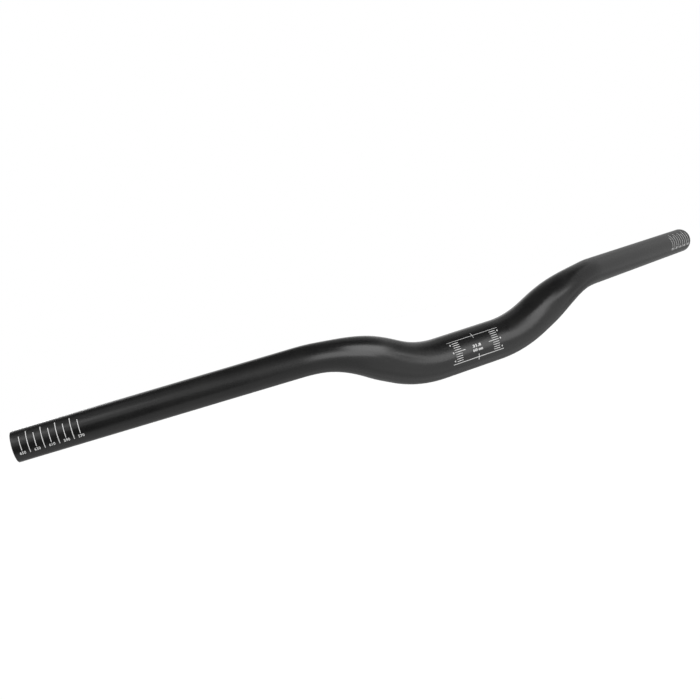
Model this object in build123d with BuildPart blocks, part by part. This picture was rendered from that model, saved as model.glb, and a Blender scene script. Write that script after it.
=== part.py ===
"""Riser handlebar: one hollow aluminium tube, bent twice on each side and tapered to the grips."""
import os
from math import radians, tan

from build123d import *

# Driving dimensions, in millimetres and degrees
bar_width = 660.0
clamp_diameter = 31.8
grip_diameter = 22.2
clamp_wall = 2.6
grip_wall = 2.2
first_bend_x = 48.0
second_bend_x = 113.0
rise = 29.0
rise_forward = 11.0
backsweep = 21.0
bend_radius = 90.0
taper_length = 56.0
edge_break = 0.5

# Corners of the right half's centre line, from the clamp's middle to the cut end
grip_run = bar_width / 2 - second_bend_x
clamp_middle = Vector(0, 0, 0)
first_corner = Vector(first_bend_x, 0, 0)
second_corner = Vector(second_bend_x, -rise_forward, rise)
bar_end = second_corner + Vector(grip_run, grip_run * tan(radians(backsweep)), 0)

# Directions of the three straight runs, and where the bends begin and end along the centre line
clamp_direction = (first_corner - clamp_middle).normalized()
rise_direction = (second_corner - first_corner).normalized()
grip_direction = (bar_end - second_corner).normalized()
first_angle = radians(clamp_direction.get_angle(rise_direction))
second_angle = radians(rise_direction.get_angle(grip_direction))
first_tangent = bend_radius * tan(first_angle / 2)
second_tangent = bend_radius * tan(second_angle / 2)
first_bend_start = first_bend_x - first_tangent
first_bend_end = first_bend_start + bend_radius * first_angle
second_bend_start = first_bend_end + (second_corner - first_corner).length - first_tangent - second_tangent
second_bend_end = second_bend_start + bend_radius * second_angle

# The taper begins midway between the bends and is over before the second bend ends
taper_start = (first_bend_end + second_bend_start) / 2

# The formed zone runs from the start of the first bend to the end of the second
formed_start = first_bend_start
formed_end = second_bend_end
section_count = 25


def taper_share(distance):
    """How far the tube has gone from its clamp size to its grip size, eased at both ends."""
    share = min(max((distance - taper_start) / taper_length, 0.0), 1.0)
    return share * share * (3.0 - 2.0 * share)


def outer_radius(distance):
    """Outside radius of the tube at a distance along the centre line."""
    return (clamp_diameter + (grip_diameter - clamp_diameter) * taper_share(distance)) / 2


def bore_radius(distance):
    """Inside radius: the wall is thickest at the clamp and thins towards the grips."""
    return outer_radius(distance) - clamp_wall - (grip_wall - clamp_wall) * taper_share(distance)


# Centre line of the right half, with both corners rounded to the bend radius
with BuildLine() as centre_line:
    FilletPolyline(clamp_middle, first_corner, second_corner, bar_end, radius=bend_radius)
path = centre_line.wire()
formed_path = Wire(centre_line.edges().sort_by(Axis.X)[1:4])


def cross_plane(distance):
    """Plane square to the centre line at a distance from the clamp's middle."""
    point = path.position_at(distance, position_mode=PositionMode.LENGTH)
    tangent = path.tangent_at(distance, position_mode=PositionMode.LENGTH)
    return Plane(origin=point, x_dir=(0, 1, 0), z_dir=tangent)


# Round sections of the outside and of the bore through the formed zone
outer_sections = []
bore_sections = []
for index in range(section_count):
    station = formed_start + (formed_end - formed_start) * index / (section_count - 1)
    with BuildSketch(cross_plane(station)) as outer_section:
        Circle(outer_radius(station))
    outer_sections.append(outer_section.sketch)
    with BuildSketch(cross_plane(station)) as bore_section:
        Circle(bore_radius(station))
    bore_sections.append(bore_section.sketch)

# Sections of the straight clamp zone and of the straight grip
clamp_plane = Plane(origin=clamp_middle, x_dir=(0, 1, 0), z_dir=clamp_direction)
grip_plane = cross_plane(formed_end)
grip_length = path.length - formed_end
with BuildSketch(clamp_plane) as clamp_circle:
    Circle(clamp_diameter / 2)
with BuildSketch(clamp_plane) as clamp_bore_circle:
    Circle(clamp_diameter / 2 - clamp_wall)
with BuildSketch(grip_plane) as grip_circle:
    Circle(grip_diameter / 2)
with BuildSketch(grip_plane) as grip_bore_circle:
    Circle(grip_diameter / 2 - grip_wall)

# Outside of the bar: formed zone and grip on one side, mirrored, then joined by the clamp zone
with BuildPart() as outside:
    sweep(sections=outer_sections, path=formed_path, multisection=True)
    extrude(grip_circle.sketch, amount=grip_length)
    mirror(about=Plane.YZ)
    extrude(clamp_circle.sketch, amount=formed_start, both=True)

# Bore of the bar, running a little past both cut ends
with BuildPart() as bore:
    sweep(sections=bore_sections, path=formed_path, multisection=True)
    extrude(grip_bore_circle.sketch, amount=grip_length + grip_wall)
    mirror(about=Plane.YZ)
    extrude(clamp_bore_circle.sketch, amount=formed_start, both=True)

# The tube, with the sharp edges broken at both cut ends
with BuildPart() as handlebar:
    add(outside.part)
    add(bore.part, mode=Mode.SUBTRACT)
    end_faces = handlebar.faces().filter_by(GeomType.PLANE)
    chamfer(end_faces.edges(), length=edge_break)

handlebar.part.label = "handlebar"
os.makedirs("parts", exist_ok=True)
export_step(handlebar.part, "parts/handlebar.step")
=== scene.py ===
"""Riser handlebar: a butted black anodised tube with a white cut scale at each end and clamp marks."""

import math

import bmesh
import bpy
from mathutils import Euler, Matrix, Vector


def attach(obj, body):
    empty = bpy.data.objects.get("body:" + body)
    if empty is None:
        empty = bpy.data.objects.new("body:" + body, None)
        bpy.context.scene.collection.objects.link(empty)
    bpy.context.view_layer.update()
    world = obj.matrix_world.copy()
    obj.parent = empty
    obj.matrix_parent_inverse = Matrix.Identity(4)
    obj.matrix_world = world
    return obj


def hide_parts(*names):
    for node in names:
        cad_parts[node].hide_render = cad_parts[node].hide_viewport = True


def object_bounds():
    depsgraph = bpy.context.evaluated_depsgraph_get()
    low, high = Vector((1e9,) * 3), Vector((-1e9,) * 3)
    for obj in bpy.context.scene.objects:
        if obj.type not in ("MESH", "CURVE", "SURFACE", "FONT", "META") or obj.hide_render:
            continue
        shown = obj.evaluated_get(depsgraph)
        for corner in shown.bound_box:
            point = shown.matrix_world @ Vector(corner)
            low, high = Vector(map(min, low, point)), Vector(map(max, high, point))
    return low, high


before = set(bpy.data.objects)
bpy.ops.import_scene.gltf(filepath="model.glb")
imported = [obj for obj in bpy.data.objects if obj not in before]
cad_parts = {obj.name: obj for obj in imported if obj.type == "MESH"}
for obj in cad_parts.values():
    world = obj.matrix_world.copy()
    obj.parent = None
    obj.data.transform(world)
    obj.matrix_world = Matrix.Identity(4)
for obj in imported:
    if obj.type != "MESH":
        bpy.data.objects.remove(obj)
cad_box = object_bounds()

MM = 0.001
UP = Vector((0, 0, 1))
BAR_MIDDLE = (0, 0, 0)
BLACK = (0, 0, 0, 1)
WHITE = (1, 1, 1, 1)

# The tube's driving dimensions, as in the part's source
BAR_WIDTH = 660 * MM
CLAMP_DIAMETER = 31.8 * MM
GRIP_DIAMETER = 22.2 * MM
CLAMP_WALL = 2.6 * MM
GRIP_WALL = 2.2 * MM
FIRST_BEND_X = 48 * MM
SECOND_BEND_X = 113 * MM
RISE = 29 * MM
RISE_FORWARD = 11 * MM
BACKSWEEP = math.radians(21)
BEND_RADIUS = 90 * MM
TAPER_LENGTH = 56 * MM
EDGE_BREAK = 0.5 * MM

# Fineness of the tube's mesh
AROUND = 96
OUTSIDE_STEP = 2.5 * MM
BORE_STEP = 5 * MM
EDGE_STEPS = 4

# Ink film: its height above the tube, its depth in it, the width of its strips, and its smallest detail
INK_THICKNESS = 0.04 * MM
INK_ROOT = 0.02 * MM
INK_STEP = 0.47 * MM
INK_SLIVER = 0.002 * MM

# Cut scale at each end: short numbered lines and long bare ones by turns
CUT_FIRST = 6 * MM
CUT_PITCH = 5 * MM
CUT_LINE = 0.5 * MM
CUT_NUMBERS = ("650", "630", "610", "590", "570")
CUT_CENTRE = math.radians(81.4)
CUT_SHORT_HALF = math.radians(26)
CUT_LONG_HALF = math.radians(41)
CUT_NUMBER_ANGLE = math.radians(117.1)
CUT_NUMBER_WIDTH = 4.1 * MM
CUT_NUMBER_HEIGHT = 2.25 * MM
CUT_NUMBER_WEIGHT = 0.02

# Clamp marks: two borders with centre crosses, and a column of numbered angle ticks on each side
CLAMP_CENTRE = math.radians(84.4)
CLAMP_MARKS_X = -1.2 * MM
BORDER_HALF_LENGTH = 24.4 * MM
BORDER_ANGLE = math.radians(32.1)
UPPER_BORDER_LINE = 0.27 * MM
LOWER_BORDER_LINE = 0.55 * MM
CROSS_HALF = 2.5 * MM
TICK_COUNT_EACH_WAY = 4
TICK_ANGLE = math.radians(6.35)
TICK_LINE = 0.48 * MM
TICK_OUTER_X = 20.9 * MM
TICK_INNER_X = 14.9 * MM
LONG_TICK_INNER_X = 11.2 * MM
TICK_NUMBER_X = 22.7 * MM
TICK_NUMBER_ANGLE = math.radians(23)
TICK_NUMBER_WIDTH = 1.3 * MM
TICK_NUMBER_HEIGHT = 1.5 * MM

# Rows of the bar's sizes: the figures, their angle round the tube and their width
SIZE_ROWS = (("31.8", math.radians(83.4), 7.8 * MM), ("660 mm", math.radians(94.8), 9.4 * MM))
SIZE_MIDDLE_X = -0.3 * MM
SIZE_HEIGHT = 2.3 * MM

# Figures: boldness in the clamp marks, spacing and roundness of the plain built-in letters
CLAMP_FIGURE_WEIGHT = 0.055
FIGURE_SPACING = 1.1
FIGURE_ROUNDNESS = 3

# Black anodising: each noise in cycles a metre, the span of it that shows, and how much it changes
CLOUD_CYCLES = 42
CLOUD_SPAN = (0.3, 0.7)
CLOUD_DARK = (0.0082, 0.0082, 0.0084)
CLOUD_PALE = (0.0115, 0.0114, 0.0111)
GRAIN_CYCLES = 5200
GRAIN_SPAN = (0.55, 0.8)
GRAIN_SHARE = (0, 0.5)
GRAIN_COLOUR = (0.020, 0.020, 0.021)
GRAIN_BUMP = 0.10
DRAWN_CYCLES = (30, 2600, 2600)
DRAWN_SPAN = (0.6, 0.75)
DRAWN_SHARE = (0, 0.35)
DRAWN_COLOUR = (0.015, 0.015, 0.016)
DRAWN_BUMP = 0.06
WEAR_CYCLES = 900
WEAR_SPAN = (0.45, 0.62)
WEAR_SHARE = (0.05, 0.6)
WEAR_COLOUR = (0.19, 0.19, 0.195)
BORE_COLOUR = (0.03, 0.03, 0.031)
BORE_DULLNESS = 0.15
SATIN_SPAN = (0.6, 1.4)
SATIN_ROUGHNESS = (0.24, 0.31)
SATIN_IOR = 1.41
BUMP_DEPTH = 0.02 * MM

# White ink
MOTTLE_CYCLES = 1400
MOTTLE_SPAN = (0.35, 0.7)
INK_WHITE = (0.92, 0.92, 0.91)
INK_GREY = (0.84, 0.84, 0.84)
PINHOLE_SPAN = (0.68, 0.8)
PINHOLE_SHARE = (0, 0.6)
PINHOLE_COLOUR = (0.2, 0.2, 0.2)
INK_ROUGHNESS_SPAN = (0.3, 0.7)
INK_ROUGHNESS = (0.45, 0.6)
INK_BUMP = 0.15

# The Mix node's sockets that carry colours
MIX_FIRST = 6
MIX_SECOND = 7
MIX_RESULT = 2

# Camera at the photograph's viewing angle
CAMERA_PLACE = Vector((-0.4373, -0.6356, 0.0547))
CAMERA_YAW = math.radians(28.017)
CAMERA_PITCH = math.radians(-2.236)
CAMERA_ROLL = math.radians(-16.286)
CAMERA_LENS = 50.986
CAMERA_SENSOR = 36

# Floor, surround and key light
FLOOR_DROP = 450 * MM
FLOOR_SIZE = 40
FLOOR_WHITE = 0.85
FLOOR_ROUGHNESS = 0.9
FLOOR_TOP_UP = 0.27
SKY_ON_OBJECT = 0.55
KEY_STRENGTH = 1.2
KEY_SOFTNESS = math.radians(14)
KEY_FROM = Vector((0.35, -0.45, 1.0))

# Levels of the studio panels above and below the bar
CEILING_LEVEL = 1.0
FLOOR_PANEL_LEVEL = -0.44
RAISED_FLOOR_PANEL_LEVEL = -0.43


def corner_line():
    """Corner line of the right half: clamp middle, two bends, and the middle of the cut end."""
    run = BAR_WIDTH / 2 - SECOND_BEND_X
    second = Vector((SECOND_BEND_X, -RISE_FORWARD, RISE))
    end = second + Vector((run, run * math.tan(BACKSWEEP), 0))
    return [Vector((0, 0, 0)), Vector((FIRST_BEND_X, 0, 0)), second, end]


def formed_line():
    """Straight runs and arcs of the right half's centre line, each with the distance where it starts."""
    corners = corner_line()
    pieces = []
    start = corners[0]
    distance = 0
    for corner, after in zip(corners[1:], corners[2:]):
        into = (corner - start).normalized()
        out = (after - corner).normalized()
        turn = into.angle(out)
        setback = BEND_RADIUS * math.tan(turn / 2)
        arc_start = corner - into * setback
        inward = (out - into * into.dot(out)).normalized()
        pieces.append((distance, start, into, None))
        distance += (arc_start - start).length
        pieces.append((distance, arc_start, into, inward))
        distance += BEND_RADIUS * turn
        start = corner + out * setback
    pieces.append((distance, start, (corners[-1] - start).normalized(), None))
    distance += (corners[-1] - start).length
    return pieces, distance


PATH, HALF_LENGTH = formed_line()
BETWEEN_BENDS = PATH[2]
SECOND_BEND = PATH[3]
TAPER_START = (BETWEEN_BENDS[0] + SECOND_BEND[0]) / 2


def taper_share(distance):
    """How far the tube has gone from its clamp size to its grip size, eased at both ends."""
    share = min(max((abs(distance) - TAPER_START) / TAPER_LENGTH, 0), 1)
    return share * share * (3 - 2 * share)


def outer_radius(distance):
    """Outside radius of the tube at a distance along the centre line."""
    return (CLAMP_DIAMETER + (GRIP_DIAMETER - CLAMP_DIAMETER) * taper_share(distance)) / 2


def bore_radius(distance):
    """Inside radius: the wall is thickest at the clamp and thins towards the grips."""
    return outer_radius(distance) - CLAMP_WALL - (GRIP_WALL - CLAMP_WALL) * taper_share(distance)


def centre_at(distance):
    """Point and direction of the centre line, at a distance right (+) or left (-) of the clamp's middle."""
    reach = abs(distance)
    begin, start, into, inward = [piece for piece in PATH if piece[0] <= reach][-1]
    if inward is None:
        point = start + into * (reach - begin)
        along = into.copy()
    else:
        angle = (reach - begin) / BEND_RADIUS
        point = start + BEND_RADIUS * (into * math.sin(angle) + inward * (1 - math.cos(angle)))
        along = into * math.cos(angle) + inward * math.sin(angle)
    if distance < 0:
        point.x = -point.x
        along.y, along.z = -along.y, -along.z
    return point, along


def cross_axes(distance):
    """Centre, upward axis and forward axis of the tube's cross-section."""
    point, along = centre_at(distance)
    upward = (UP - along * UP.dot(along)).normalized()
    return point, upward, along.cross(upward)


def on_tube(distance, angle, radius):
    """Point at an angle round the tube: 0 is the top and a quarter turn is the front."""
    point, upward, forward = cross_axes(distance)
    return point + radius * (upward * math.cos(angle) + forward * math.sin(angle))


def spaced(length, step):
    """Even distances from one end to the other, no further apart than a step."""
    count = math.ceil(2 * length / step)
    return [-length + 2 * length * i / count for i in range(count + 1)]


def tube_profile():
    """Rings as (distance, radius, edge, inside): right along the outside, then back through the bore."""
    rings = []
    flat = HALF_LENGTH - EDGE_BREAK
    for distance in spaced(flat, OUTSIDE_STEP):
        rings.append((distance, outer_radius(distance), 0, 0))
    grip = outer_radius(HALF_LENGTH)
    bore = bore_radius(HALF_LENGTH)
    quarter = [math.pi / 2 * i / EDGE_STEPS for i in range(1, EDGE_STEPS + 1)]
    outer_edge = [(flat + EDGE_BREAK * math.sin(a), grip - EDGE_BREAK * (1 - math.cos(a))) for a in quarter]
    bore_edge = [(flat + EDGE_BREAK * math.sin(a), bore + EDGE_BREAK * (1 - math.cos(a))) for a in quarter]
    end = [(d, r, 1, 0) for d, r in outer_edge] + [(d, r, 1, 0) for d, r in reversed(bore_edge)]
    rings += end
    for distance in reversed(spaced(flat, BORE_STEP)):
        rings.append((distance, bore_radius(distance), 0, 1))
    rings += [(-d, r, edge, inside) for d, r, edge, inside in reversed(end)]
    return rings


def build_tube():
    """The whole handlebar: one closed tube, with its straightened coordinates kept for the finish."""
    rings = tube_profile()
    points, straight, edges, insides = [], [], [], []
    for distance, radius, edge, inside in rings:
        centre, upward, forward = cross_axes(max(-HALF_LENGTH, min(HALF_LENGTH, distance)))
        for i in range(AROUND):
            angle = 2 * math.pi * i / AROUND
            points.append(centre + radius * (upward * math.cos(angle) + forward * math.sin(angle)))
            straight += [distance, radius * math.cos(angle), radius * math.sin(angle)]
            edges.append(edge)
            insides.append(inside)
    faces = []
    for ring in range(len(rings)):
        after = (ring + 1) % len(rings)
        for i in range(AROUND):
            j = (i + 1) % AROUND
            faces.append((ring * AROUND + i, ring * AROUND + j, after * AROUND + j, after * AROUND + i))
    mesh = bpy.data.meshes.new("bar_tube")
    mesh.from_pydata(points, [], faces)
    mesh.attributes.new("straight", "FLOAT_VECTOR", "POINT").data.foreach_set("vector", straight)
    mesh.attributes.new("edge", "FLOAT", "POINT").data.foreach_set("value", edges)
    mesh.attributes.new("inside", "FLOAT", "POINT").data.foreach_set("value", insides)
    return finish_mesh(mesh)


def finish_mesh(mesh):
    """A piece from a mesh, with its faces turned outwards and shaded smooth."""
    work = bmesh.new()
    work.from_mesh(mesh)
    bmesh.ops.recalc_face_normals(work, faces=work.faces)
    work.to_mesh(mesh)
    work.free()
    mesh.shade_smooth()
    piece = bpy.data.objects.new(mesh.name, mesh)
    bpy.context.scene.collection.objects.link(piece)
    return piece


def add_bar(drawing, left, right, low, high):
    """A rectangle of ink in the flat drawing."""
    corners = ((left, low), (right, low), (right, high), (left, high))
    drawing.faces.new([drawing.verts.new((x, y, 0)) for x, y in corners])


def add_figures(drawing, text, weight, width, height, x, y):
    """Figures of a given boldness, width and height, centred on a point of the flat drawing."""
    curve = bpy.data.curves.new("figures", "FONT")
    curve.body = text
    curve.resolution_u = FIGURE_ROUNDNESS
    curve.offset = weight
    curve.space_character = FIGURE_SPACING
    letters = bpy.data.objects.new("figures", curve)
    bpy.context.scene.collection.objects.link(letters)
    mesh = bpy.data.meshes.new_from_object(letters)
    xs = [v.co.x for v in mesh.vertices]
    ys = [v.co.y for v in mesh.vertices]
    scale = Matrix.Diagonal((width / (max(xs) - min(xs)), height / (max(ys) - min(ys)), 1, 1))
    middle = Vector(((min(xs) + max(xs)) / 2, (min(ys) + max(ys)) / 2, 0))
    mesh.transform(Matrix.Translation((x, y, 0)) @ scale @ Matrix.Translation(-middle))
    drawing.from_mesh(mesh)
    bpy.data.objects.remove(letters)
    bpy.data.curves.remove(curve)
    bpy.data.meshes.remove(mesh)


def cut_to_strips(drawing):
    """The flat drawing cut into narrow strips of even triangles, so that it can bend round the tube."""
    bmesh.ops.remove_doubles(drawing, verts=drawing.verts, dist=INK_SLIVER)
    heights = [v.co.y for v in drawing.verts]
    level = min(heights) + INK_STEP
    while level < max(heights):
        everything = drawing.verts[:] + drawing.edges[:] + drawing.faces[:]
        bmesh.ops.bisect_plane(drawing, geom=everything, plane_co=(0, level, 0), plane_no=(0, 1, 0))
        level += INK_STEP
    bmesh.ops.dissolve_degenerate(drawing, edges=drawing.edges, dist=INK_SLIVER)
    bmesh.ops.triangulate(drawing, faces=drawing.faces)
    bmesh.ops.beautify_fill(drawing, faces=drawing.faces, edges=drawing.edges, method="ANGLE")


def wrap_ink(drawing, name, distance, angle, radius):
    """The flat drawing laid on the tube as a thin closed film, its middle at a distance and an angle."""
    cut_to_strips(drawing)
    bottom = drawing.faces[:]
    top = bmesh.ops.extrude_face_region(drawing, geom=bottom, use_keep_orig=True)["geom"]
    raised = {v for v in top if isinstance(v, bmesh.types.BMVert)}
    for vert in drawing.verts:
        height = INK_THICKNESS if vert in raised else -INK_ROOT
        vert.co = on_tube(distance + vert.co.x, angle - vert.co.y / radius, radius + height)
    mesh = bpy.data.meshes.new(name)
    drawing.to_mesh(mesh)
    drawing.free()
    return finish_mesh(mesh)


def build_cut_scale(name, side):
    """Nine lines along the grip, evenly spaced from near the cut end, with a number at every other one."""
    radius = GRIP_DIAMETER / 2
    drawing = bmesh.new()
    for line in range(2 * len(CUT_NUMBERS) - 1):
        x = -side * (CUT_FIRST + CUT_PITCH * line)
        numbered = line % 2 == 0
        reach = radius * (CUT_SHORT_HALF if numbered else CUT_LONG_HALF)
        add_bar(drawing, x - CUT_LINE / 2, x + CUT_LINE / 2, -reach, reach)
        if numbered:
            number = CUT_NUMBERS[line // 2]
            below = radius * (CUT_CENTRE - CUT_NUMBER_ANGLE)
            add_figures(
                drawing, number, CUT_NUMBER_WEIGHT, CUT_NUMBER_WIDTH, CUT_NUMBER_HEIGHT, x, below,
            )
    return wrap_ink(drawing, name, side * HALF_LENGTH, CUT_CENTRE, radius)


def add_border(drawing, y, line):
    """A border line with a centre cross, in rectangles that share their corners at the crossing."""
    half = line / 2
    add_bar(drawing, -BORDER_HALF_LENGTH, -half, y - half, y + half)
    add_bar(drawing, -half, half, y - half, y + half)
    add_bar(drawing, half, BORDER_HALF_LENGTH, y - half, y + half)
    add_bar(drawing, -half, half, y + half, y + CROSS_HALF)
    add_bar(drawing, -half, half, y - CROSS_HALF, y - half)


def add_tick_column(drawing, radius, way):
    """Ticks and their numbers on the left (-1) or right (1) of the clamp marks, the middle tick longer."""
    for tick in range(-TICK_COUNT_EACH_WAY, TICK_COUNT_EACH_WAY + 1):
        y = radius * TICK_ANGLE * tick
        inner = TICK_INNER_X if tick else LONG_TICK_INNER_X
        left, right = sorted((way * inner, way * TICK_OUTER_X))
        add_bar(drawing, left, right, y - TICK_LINE / 2, y + TICK_LINE / 2)
    for number, turn in ((TICK_COUNT_EACH_WAY, -1), (0, 0), (TICK_COUNT_EACH_WAY, 1)):
        x = way * TICK_NUMBER_X
        y = radius * TICK_NUMBER_ANGLE * turn
        add_figures(
            drawing, str(number), CLAMP_FIGURE_WEIGHT, TICK_NUMBER_WIDTH, TICK_NUMBER_HEIGHT, x, y,
        )


def build_clamp_marks(name):
    """Alignment marks on the clamp zone: borders, angle ticks with numbers, and the bar's sizes."""
    radius = CLAMP_DIAMETER / 2
    drawing = bmesh.new()
    add_border(drawing, radius * BORDER_ANGLE, UPPER_BORDER_LINE)
    add_border(drawing, -radius * BORDER_ANGLE, LOWER_BORDER_LINE)
    for way in (-1, 1):
        add_tick_column(drawing, radius, way)
    for text, angle, width in SIZE_ROWS:
        y = radius * (CLAMP_CENTRE - angle)
        add_figures(drawing, text, CLAMP_FIGURE_WEIGHT, width, SIZE_HEIGHT, SIZE_MIDDLE_X, y)
    return wrap_ink(drawing, name, CLAMP_MARKS_X, CLAMP_CENTRE, radius)


def new_material(name):
    """A material with its node tree and its shader."""
    material = bpy.data.materials.new(name)
    material.use_nodes = True
    tree = material.node_tree
    return material, tree, tree.nodes["Principled BSDF"]


def noise(tree, vector, cycles, detail):
    """A noise texture at so many cycles a metre: one number, or one for each axis."""
    if isinstance(cycles, tuple):
        mapping = tree.nodes.new("ShaderNodeMapping")
        mapping.inputs["Scale"].default_value = cycles
        tree.links.new(vector, mapping.inputs["Vector"])
        vector = mapping.outputs["Vector"]
        cycles = 1
    texture = tree.nodes.new("ShaderNodeTexNoise")
    texture.inputs["Scale"].default_value = cycles
    texture.inputs["Detail"].default_value = detail
    tree.links.new(vector, texture.inputs["Vector"])
    return texture.outputs["Fac"]


def ranged(tree, value, span, result=(0, 1)):
    """A value mapped from a span to a range of results."""
    node = tree.nodes.new("ShaderNodeMapRange")
    for socket, number in zip(("From Min", "From Max", "To Min", "To Max"), span + result):
        node.inputs[socket].default_value = number
    tree.links.new(value, node.inputs["Value"])
    return node.outputs["Result"]


def mixed(tree, share, first, second):
    """A colour between two, each a colour or a socket."""
    node = tree.nodes.new("ShaderNodeMix")
    node.data_type = "RGBA"
    tree.links.new(share, node.inputs["Factor"])
    for socket, colour in ((node.inputs[MIX_FIRST], first), (node.inputs[MIX_SECOND], second)):
        if isinstance(colour, tuple):
            socket.default_value = (*colour, 1)
        else:
            tree.links.new(colour, socket)
    return node.outputs[MIX_RESULT]


def maths(tree, operation, first, second):
    """A sum, product or other operation on two values, each a number or a socket."""
    node = tree.nodes.new("ShaderNodeMath")
    node.operation = operation
    for socket, value in zip(node.inputs, (first, second)):
        if isinstance(value, (int, float)):
            socket.default_value = value
        else:
            tree.links.new(value, socket)
    return node.outputs[0]


def bumped(tree, height, strength, normal=None):
    """A surface direction roughened by a height, on top of another one if it is given."""
    node = tree.nodes.new("ShaderNodeBump")
    node.inputs["Strength"].default_value = strength
    node.inputs["Distance"].default_value = BUMP_DEPTH
    tree.links.new(height, node.inputs["Height"])
    if normal:
        tree.links.new(normal, node.inputs["Normal"])
    return node.outputs["Normal"]


def attribute(tree, name, output):
    """A value that the mesh carries at each point."""
    node = tree.nodes.new("ShaderNodeAttribute")
    node.attribute_name = name
    return node.outputs[output]


def black_anodised():
    """Satin black anodising over a fine blasted surface, thinner on the end edges and duller in the bore."""
    material, tree, shader = new_material("black_anodised")
    straight = attribute(tree, "straight", "Vector")
    edge = attribute(tree, "edge", "Fac")
    inside = attribute(tree, "inside", "Fac")
    grain = noise(tree, straight, GRAIN_CYCLES, detail=3)
    cloud = noise(tree, straight, CLOUD_CYCLES, detail=4)
    drawn = noise(tree, straight, DRAWN_CYCLES, detail=3)
    wear = noise(tree, straight, WEAR_CYCLES, detail=4)
    tone = mixed(tree, ranged(tree, cloud, CLOUD_SPAN), CLOUD_DARK, CLOUD_PALE)
    speckled = mixed(tree, ranged(tree, grain, GRAIN_SPAN, GRAIN_SHARE), tone, GRAIN_COLOUR)
    lined = mixed(tree, ranged(tree, drawn, DRAWN_SPAN, DRAWN_SHARE), speckled, DRAWN_COLOUR)
    worn = maths(tree, "MULTIPLY", edge, ranged(tree, wear, WEAR_SPAN, WEAR_SHARE))
    rubbed = mixed(tree, worn, lined, WEAR_COLOUR)
    tree.links.new(mixed(tree, inside, rubbed, BORE_COLOUR), shader.inputs["Base Color"])
    satin = ranged(tree, maths(tree, "ADD", cloud, grain), SATIN_SPAN, SATIN_ROUGHNESS)
    dulled = maths(tree, "ADD", satin, maths(tree, "MULTIPLY", inside, BORE_DULLNESS))
    tree.links.new(dulled, shader.inputs["Roughness"])
    blasted = bumped(tree, grain, GRAIN_BUMP)
    tree.links.new(bumped(tree, drawn, DRAWN_BUMP, blasted), shader.inputs["Normal"])
    shader.inputs["IOR"].default_value = SATIN_IOR
    return material


def white_print():
    """Screen-printed white ink, a little uneven, over the blasted surface."""
    material, tree, shader = new_material("white_print")
    place = tree.nodes.new("ShaderNodeTexCoord").outputs["Object"]
    mottle = noise(tree, place, MOTTLE_CYCLES, detail=3)
    grain = noise(tree, place, GRAIN_CYCLES, detail=2)
    ink = mixed(tree, ranged(tree, mottle, MOTTLE_SPAN), INK_WHITE, INK_GREY)
    pinholed = mixed(tree, ranged(tree, grain, PINHOLE_SPAN, PINHOLE_SHARE), ink, PINHOLE_COLOUR)
    tree.links.new(pinholed, shader.inputs["Base Color"])
    tree.links.new(ranged(tree, mottle, INK_ROUGHNESS_SPAN, INK_ROUGHNESS), shader.inputs["Roughness"])
    tree.links.new(bumped(tree, grain, INK_BUMP), shader.inputs["Normal"])
    return material


def seen_directly(tree):
    """1 for camera, glossy and transmission rays, and 0 for the rest."""
    light_path = tree.nodes.new("ShaderNodeLightPath")
    seen = maths(tree, "MAXIMUM", light_path.outputs["Is Camera Ray"], light_path.outputs["Is Glossy Ray"])
    return maths(tree, "MAXIMUM", seen, light_path.outputs["Is Transmission Ray"])


def build_floor():
    """A plain pale floor that keeps the bar's shadow and shows white."""
    half = FLOOR_SIZE / 2
    level = cad_box[0].z - FLOOR_DROP
    mesh = bpy.data.meshes.new("floor")
    corners = [(-half, -half, level), (half, -half, level), (half, half, level), (-half, half, level)]
    mesh.from_pydata(corners, [], [(0, 1, 2, 3)])
    floor = bpy.data.objects.new("floor", mesh)
    bpy.context.scene.collection.objects.link(floor)
    material, tree, shader = new_material("floor_white")
    shader.inputs["Base Color"].default_value = (FLOOR_WHITE, FLOOR_WHITE, FLOOR_WHITE, 1)
    shader.inputs["Roughness"].default_value = FLOOR_ROUGHNESS
    shader.inputs["Specular IOR Level"].default_value = 0
    shader.inputs["Emission Color"].default_value = WHITE
    glow = maths(tree, "MULTIPLY", seen_directly(tree), FLOOR_TOP_UP)
    tree.links.new(glow, shader.inputs["Emission Strength"])
    mesh.materials.append(material)


def white_surround():
    """White all round, dimmer as light on the object."""
    world = bpy.data.worlds.new("studio")
    world.use_nodes = True
    tree = world.node_tree
    background = tree.nodes["Background"]
    background.inputs["Color"].default_value = WHITE
    strength = ranged(tree, seen_directly(tree), (0, 1), (SKY_ON_OBJECT, 1))
    tree.links.new(strength, background.inputs["Strength"])
    bpy.context.scene.world = world


def aim(thing, place, target):
    """A lamp or panel put in its place and turned to face a target."""
    thing.location = place
    thing.rotation_euler = (Vector(target) - Vector(place)).to_track_quat("-Z", "Y").to_euler()


def key_light():
    """One soft light from above and in front, which gives the floor its shadow."""
    lamp = bpy.data.lights.new("key_light", "SUN")
    lamp.energy = KEY_STRENGTH
    lamp.angle = KEY_SOFTNESS
    thing = bpy.data.objects.new("key_light", lamp)
    bpy.context.scene.collection.objects.link(thing)
    aim(thing, KEY_FROM, BAR_MIDDLE)
    thing.visible_glossy = False


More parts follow.
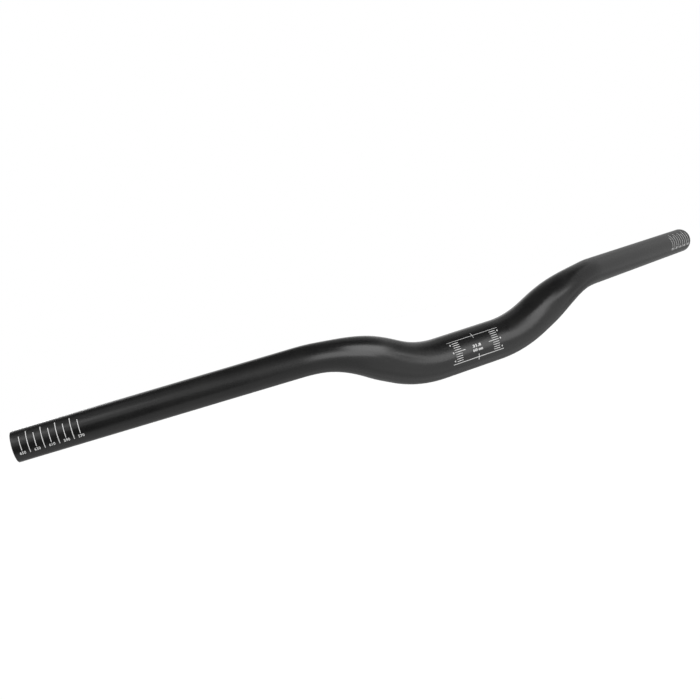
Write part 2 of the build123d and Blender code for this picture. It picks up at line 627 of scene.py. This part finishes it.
def studio_panel(name, place, target, width, height, brightness, turn=0):
    """A bright or dark panel that faces a target, and that only the bar's sheen sees."""
    mesh = bpy.data.meshes.new(name)
    x, y = width / 2, height / 2
    mesh.from_pydata([(-x, -y, 0), (x, -y, 0), (x, y, 0), (-x, y, 0)], [], [(0, 1, 2, 3)])
    panel = bpy.data.objects.new(name, mesh)
    bpy.context.scene.collection.objects.link(panel)
    aim(panel, place, target)
    panel.rotation_euler.rotate_axis("Z", turn)
    material, _, shader = new_material(name)
    shader.inputs["Base Color"].default_value = BLACK
    shader.inputs["Specular IOR Level"].default_value = 0
    shader.inputs["Emission Color"].default_value = WHITE
    shader.inputs["Emission Strength"].default_value = brightness
    mesh.materials.append(material)
    panel.visible_camera = False
    panel.visible_diffuse = False
    panel.visible_shadow = False


def level_panel(name, across, deep, level, brightness):
    """A level studio panel above or below the bar, given by where it begins and ends along X and Y."""
    x = (across[0] + across[1]) / 2
    y = (deep[0] + deep[1]) / 2
    studio_panel(name, (x, y, level), (x, y, 0), across[1] - across[0], deep[1] - deep[0], brightness)


def front_boxes():
    """Bright boxes in front of the bar, which give the bends and the clamp zone their sheen."""
    studio_panel(
        "front_box", place=(0.151, -1.613, 0.12), target=(-0.309, -0.093, 0),
        width=1.104, height=0.95, brightness=4.4,
    )
    studio_panel(
        "front_box_right", place=(0.988, -1.360, -0.01), target=(0.528, 0.160, 0),
        width=0.646, height=0.95, brightness=3.5,
    )
    studio_panel(
        "front_top", place=(0.13, -0.5, 0.255), target=(0, 0, 0.02),
        width=0.17, height=0.18, brightness=5.2,
    )


def bend_cards():
    """Small bright, dim and dark cards near the bends, which shape their sheen."""
    studio_panel(
        "bend_card", place=(-0.037, -0.103, 0.077), target=(-0.093, -0.02, 0.019),
        width=0.105, height=0.07, brightness=5.0, turn=math.radians(-35),
    )
    studio_panel(
        "left_shade", place=(-0.024, -0.113, -0.008), target=(-0.09, -0.02, 0.018),
        width=0.045, height=0.032, brightness=0.9,
    )
    studio_panel(
        "right_shade", place=(0.108, -0.058, -0.003), target=(0.091, 0.0, 0.003),
        width=0.05, height=0.052, brightness=1.2,
    )
    # The last two stand nearly edge on to the right bend, so that mainly the left bend mirrors them
    studio_panel(
        "bend_streak", place=(0.177, -0.18, 0.056), target=(-0.098, -0.29, 0.056),
        width=0.074, height=0.042, brightness=5.0,
    )
    studio_panel(
        "bend_dark", place=(0.154, -0.047, 0.126), target=(-0.130, -0.119, 0.191),
        width=0.15, height=0.08, brightness=0.25,
    )


def outer_boxes():
    """Bright boxes behind the bar and high on its left."""
    studio_panel(
        "back_box", place=(-0.8, 1.45, 0.45), target=BAR_MIDDLE,
        width=2.0, height=1.0, brightness=5.0,
    )
    studio_panel(
        "left_box", place=(-1.0, -0.62, 1.15), target=(-0.2, 0, 0),
        width=0.95, height=0.95, brightness=2.7,
    )


def ceiling_panels():
    """A dark ceiling, paler at its left edge and at the back right."""
    level_panel("ceiling_front", (-0.335, 1.295), (-1.705, 0.145), CEILING_LEVEL, brightness=0.06)
    level_panel("ceiling_edge", (-0.755, -0.335), (-1.705, 0.145), CEILING_LEVEL, brightness=0.5)
    level_panel("ceiling_left", (-0.745, 0.305), (0.15, 0.89), CEILING_LEVEL, brightness=0.06)
    level_panel("ceiling_right", (0.32, 1.32), (0.155, 1.205), CEILING_LEVEL, brightness=0.4)


def camera_side_panel():
    """A dark panel beside and below the camera, for the dark band along the left grip."""
    studio_panel(
        "camera_side", place=(-0.62, -0.44, -0.16), target=(-0.25, 0.05, 0.03),
        width=0.55, height=0.55, brightness=0.04,
    )


def floor_panels():
    """Pale and grey panels just above the floor, which the underside of the bar sees."""
    level_panel("under", (-0.8, 0.8), (-0.9, 0.2), FLOOR_PANEL_LEVEL, brightness=0.8)
    level_panel("under_front", (-0.08, 0.8), (-0.9, -0.12), RAISED_FLOOR_PANEL_LEVEL, brightness=1.15)
    level_panel("under_left", (-0.8, -0.46), (-0.8, -0.2), RAISED_FLOOR_PANEL_LEVEL, brightness=0.3)
    level_panel("under_right", (0.8, 1.5), (-0.2, 0.2), FLOOR_PANEL_LEVEL, brightness=0.43)
    level_panel("behind_left", (-0.8, 0.1), (0.2, 1.2), FLOOR_PANEL_LEVEL, brightness=0.5)
    level_panel("behind_right", (0.1, 1.8), (0.2, 1.6), FLOOR_PANEL_LEVEL, brightness=0.38)


def right_panels():
    """Grey panels past the right end, for the even grey of the right grip."""
    studio_panel(
        "right_side", place=(1.35, -0.4, 0.2), target=(0.2, -0.4, 0.1),
        width=1.5, height=1.3, brightness=0.64,
    )
    studio_panel(
        "right_back", place=(1.35, 0.85, 0.2), target=(0.2, 0.85, 0.1),
        width=1.0, height=1.3, brightness=0.45,
    )


def build_camera():
    """The camera, turned by yaw, pitch and roll."""
    camera = bpy.data.cameras.new("camera")
    camera.lens = CAMERA_LENS
    camera.sensor_width = CAMERA_SENSOR
    holder = bpy.data.objects.new("camera", camera)
    bpy.context.scene.collection.objects.link(holder)
    turned = Euler((math.pi / 2 + CAMERA_PITCH, 0, -CAMERA_YAW)).to_matrix().to_4x4()
    rolled = Matrix.Rotation(CAMERA_ROLL, 4, "Z")
    holder.matrix_world = Matrix.Translation(CAMERA_PLACE) @ turned @ rolled
    bpy.context.scene.camera = holder


def dress(piece, material):
    """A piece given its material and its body."""
    piece.data.materials.append(material)
    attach(piece, "root")


# The handlebar and its print
tube = build_tube()
dress(tube, black_anodised())
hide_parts("handlebar")
ink = white_print()
for marks in (
    build_cut_scale("cut_scale_left", -1),
    build_cut_scale("cut_scale_right", 1),
    build_clamp_marks("clamp_marks"),
):
    dress(marks, ink)

# The studio
build_camera()
build_floor()
white_surround()
key_light()
front_boxes()
bend_cards()
outer_boxes()
ceiling_panels()
camera_side_panel()
floor_panels()
right_panels()

bpy.context.scene.view_settings.view_transform = "Standard"
